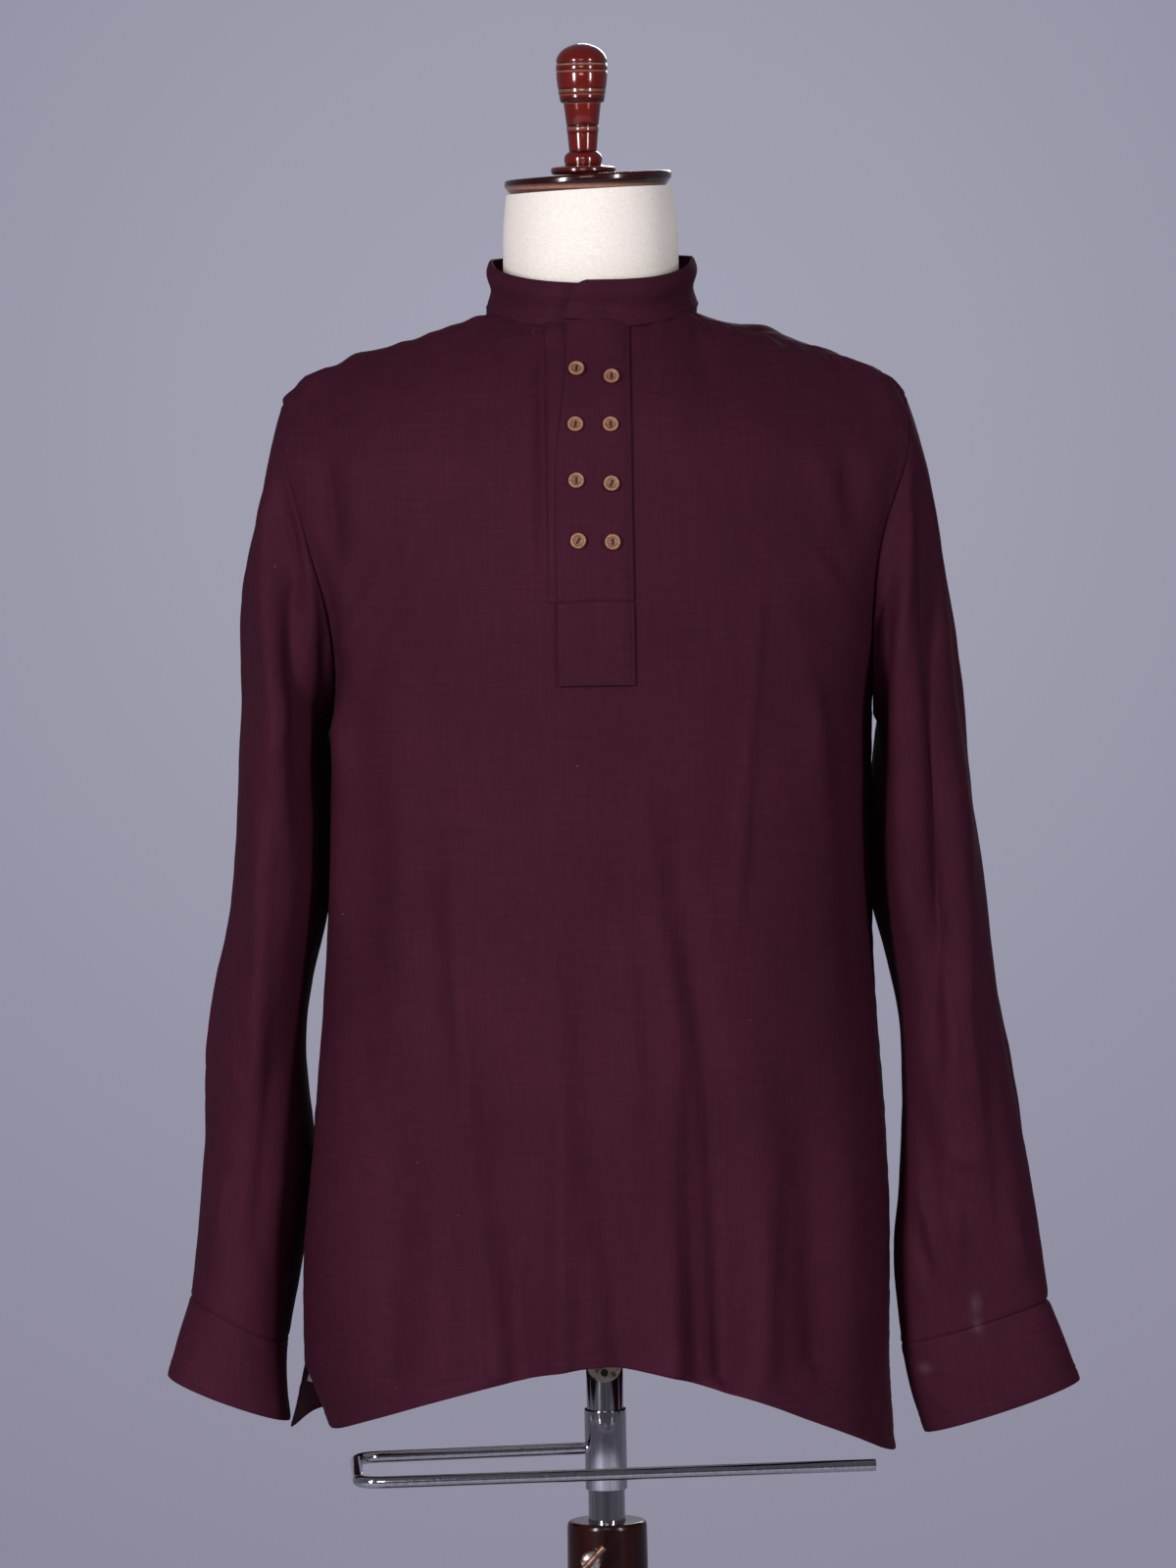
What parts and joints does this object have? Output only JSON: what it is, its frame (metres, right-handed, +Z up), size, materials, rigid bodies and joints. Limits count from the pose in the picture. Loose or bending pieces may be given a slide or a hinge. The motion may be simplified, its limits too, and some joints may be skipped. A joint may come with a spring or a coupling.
{
  "type": "kurta tunic on dress form",
  "caption": "Long-sleeved band-collar kurta tunic with a buttoned placket, worn on a limbless tailor's dress form on a height-adjustable pole stand with a trouser bar.",
  "frame": {"origin": "on the floor, at the centre of the round base's underside, under the pole's axis", "axes": "+X is the wearer's left, -Y is the front and +Z is up"},
  "size_m": [0.6266, 0.4, 1.63],
  "materials": {
    "wine_cloth": "matte",
    "button_wood": "satin",
    "label_tape": "satin",
    "form_jersey": "matte",
    "mahogany": "gloss",
    "column_lacquer": "gloss",
    "base_lacquer": "gloss",
    "chrome_plate": "polished",
    "clamp_steel": "satin",
    "beige_paint": "satin"
  },
  "bodies": {
    "stand": {"column": "column_lacquer", "base": "base_lacquer"},
    "form": {"front": "wine_cloth", "yoke": "wine_cloth", "back": "wine_cloth", "placket_under": "wine_cloth", "placket": "wine_cloth", "placket_box": "wine_cloth", "collar": "wine_cloth", "sleeve_left": "wine_cloth", "sleeve_right": "wine_cloth", "cuff_left": "wine_cloth", "cuff_right": "wine_cloth", "button_1": "button_wood", "button_2": "button_wood", "button_3": "button_wood", "button_4": "button_wood", "button_5": "button_wood", "button_6": "button_wood", "button_7": "button_wood", "button_8": "button_wood", "care_label": "label_tape", "dress_form": "form_jersey", "neck_cap": "mahogany", "finial": "mahogany", "pole": "chrome_plate", "pole_mount": "beige_paint", "bar_collar": "chrome_plate", "trouser_bar": "chrome_plate"},
    "clamp": {"clamp_knob": "clamp_steel", "clamp_lever": "clamp_steel"}
  },
  "joints": [
    {"name": "height_slide", "type": "slide", "parent": "stand", "child": "form", "axis": [0, 0, 1], "range_m": [-0.02, 0.2]},
    {"name": "clamp_turn", "type": "hinge", "parent": "stand", "child": "clamp", "pos_m": [-0.0115, -0.033, 0.592], "axis": [0, -1, 0], "range_deg": [0, 180]}
  ]
}
